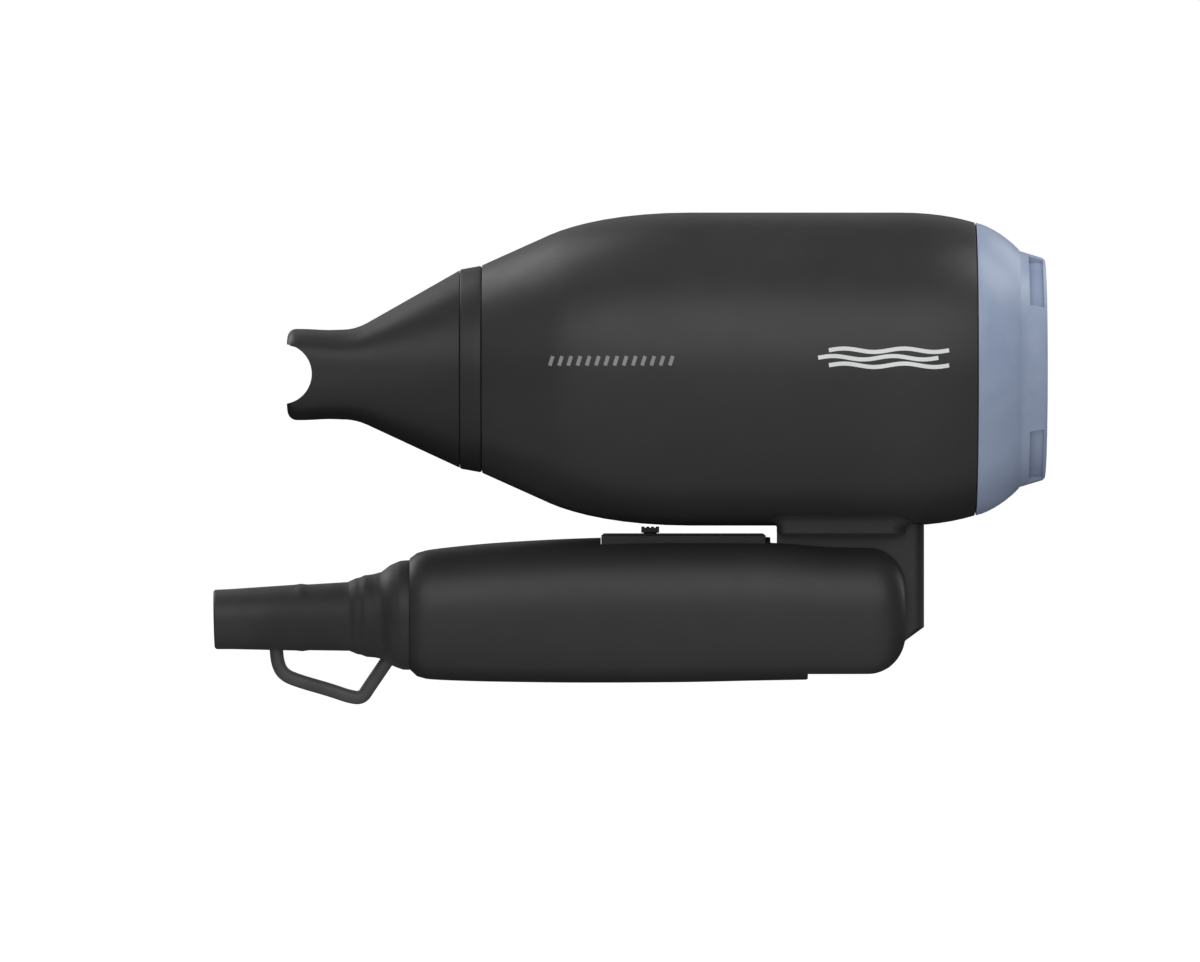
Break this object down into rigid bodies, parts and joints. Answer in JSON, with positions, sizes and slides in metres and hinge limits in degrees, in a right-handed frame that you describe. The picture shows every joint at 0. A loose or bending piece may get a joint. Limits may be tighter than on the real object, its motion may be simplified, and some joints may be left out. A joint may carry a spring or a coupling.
{
  "type": "folding hair dryer",
  "caption": "Folding travel hair dryer with a round barrel, flat push-on concentrator, rear intake cap and a handle that folds under the barrel.",
  "frame": {"origin": "under the middle of the folded dryer's overall box, at the lowest point of the hanging loop", "axes": "+X towards the air intake, -X the way the air blows, +Z from the folded handle up to the barrel, Y across the parting plane"},
  "size_m": [0.1958, 0.0736, 0.1156],
  "materials": {
    "shell": "satin black moulded plastic",
    "nozzle": "satin black heat-resistant plastic",
    "trim": "fine matt black",
    "boot": "soft matt black",
    "loop": "soft matt dark grey",
    "intake_blue": "satin pearl light blue",
    "inner_plastic": "matt dark grey",
    "fan_plastic": "plain light grey",
    "mica": "layered mica sheet",
    "heating_wire": "drawn resistance wire",
    "metal": "plated steel",
    "circuit_board": "green laminate",
    "wire_cover": "smooth insulation",
    "washer": "natural nylon",
    "capacitor": "yellow case"
  },
  "bodies": {
    "barrel": {"barrel_shell_left": "shell", "barrel_shell_right": "shell", "outlet_grille": "inner_plastic", "heater_tube": "mica", "heater_board_flat": "mica", "heater_board_upright": "mica", "heater_coil": "heating_wire", "thermostat": "metal", "thermal_fuse": "metal", "fan_duct": "inner_plastic", "motor": "metal", "motor_rectifier": "circuit_board", "motor_leads": "wire_cover", "intake_cap": "intake_blue", "intake_grille": "intake_blue", "lint_filter": "metal", "hinge_neck": "shell", "hinge_pin": "metal", "hinge_washers": "washer"},
    "collar": {"nozzle_collar": "nozzle"},
    "concentrator": {"concentrator": "nozzle"},
    "fan": {"motor_shaft": "metal", "fan": "fan_plastic"},
    "handle": {"handle_shell_left": "shell", "handle_shell_right": "shell", "handle_screws": "metal", "switch_plate": "trim", "switch_body": "inner_plastic", "suppressor_capacitor": "capacitor", "handle_wiring": "wire_cover", "cord_clamp": "inner_plastic", "clamp_screws": "metal", "cord_boot": "boot", "hanging_loop": "loop"},
    "thumb_switch": {"switch_carrier": "fan_plastic", "switch_knob": "trim"}
  },
  "joints": [
    {"name": "handle_fold", "type": "hinge", "parent": "barrel", "child": "handle", "pos_m": [0.0515, 0, 0.0228], "axis": [0, -1, 0], "range_deg": [0, 90]},
    {"name": "switch_slide", "type": "slide", "parent": "handle", "child": "thumb_switch", "axis": [1, 0, 0], "range_m": [0, 0.006]},
    {"name": "nozzle_swivel", "type": "hinge", "parent": "barrel", "child": "collar", "pos_m": [-0.038, 0, 0.0788], "axis": [1, 0, 0], "continuous": true},
    {"name": "concentrator_pull", "type": "slide", "parent": "collar", "child": "concentrator", "axis": [-1, 0, 0], "range_m": [0, 0.03]},
    {"name": "fan_spin", "type": "hinge", "parent": "barrel", "child": "fan", "pos_m": [0.066, 0, 0.0788], "axis": [1, 0, 0], "continuous": true}
  ]
}
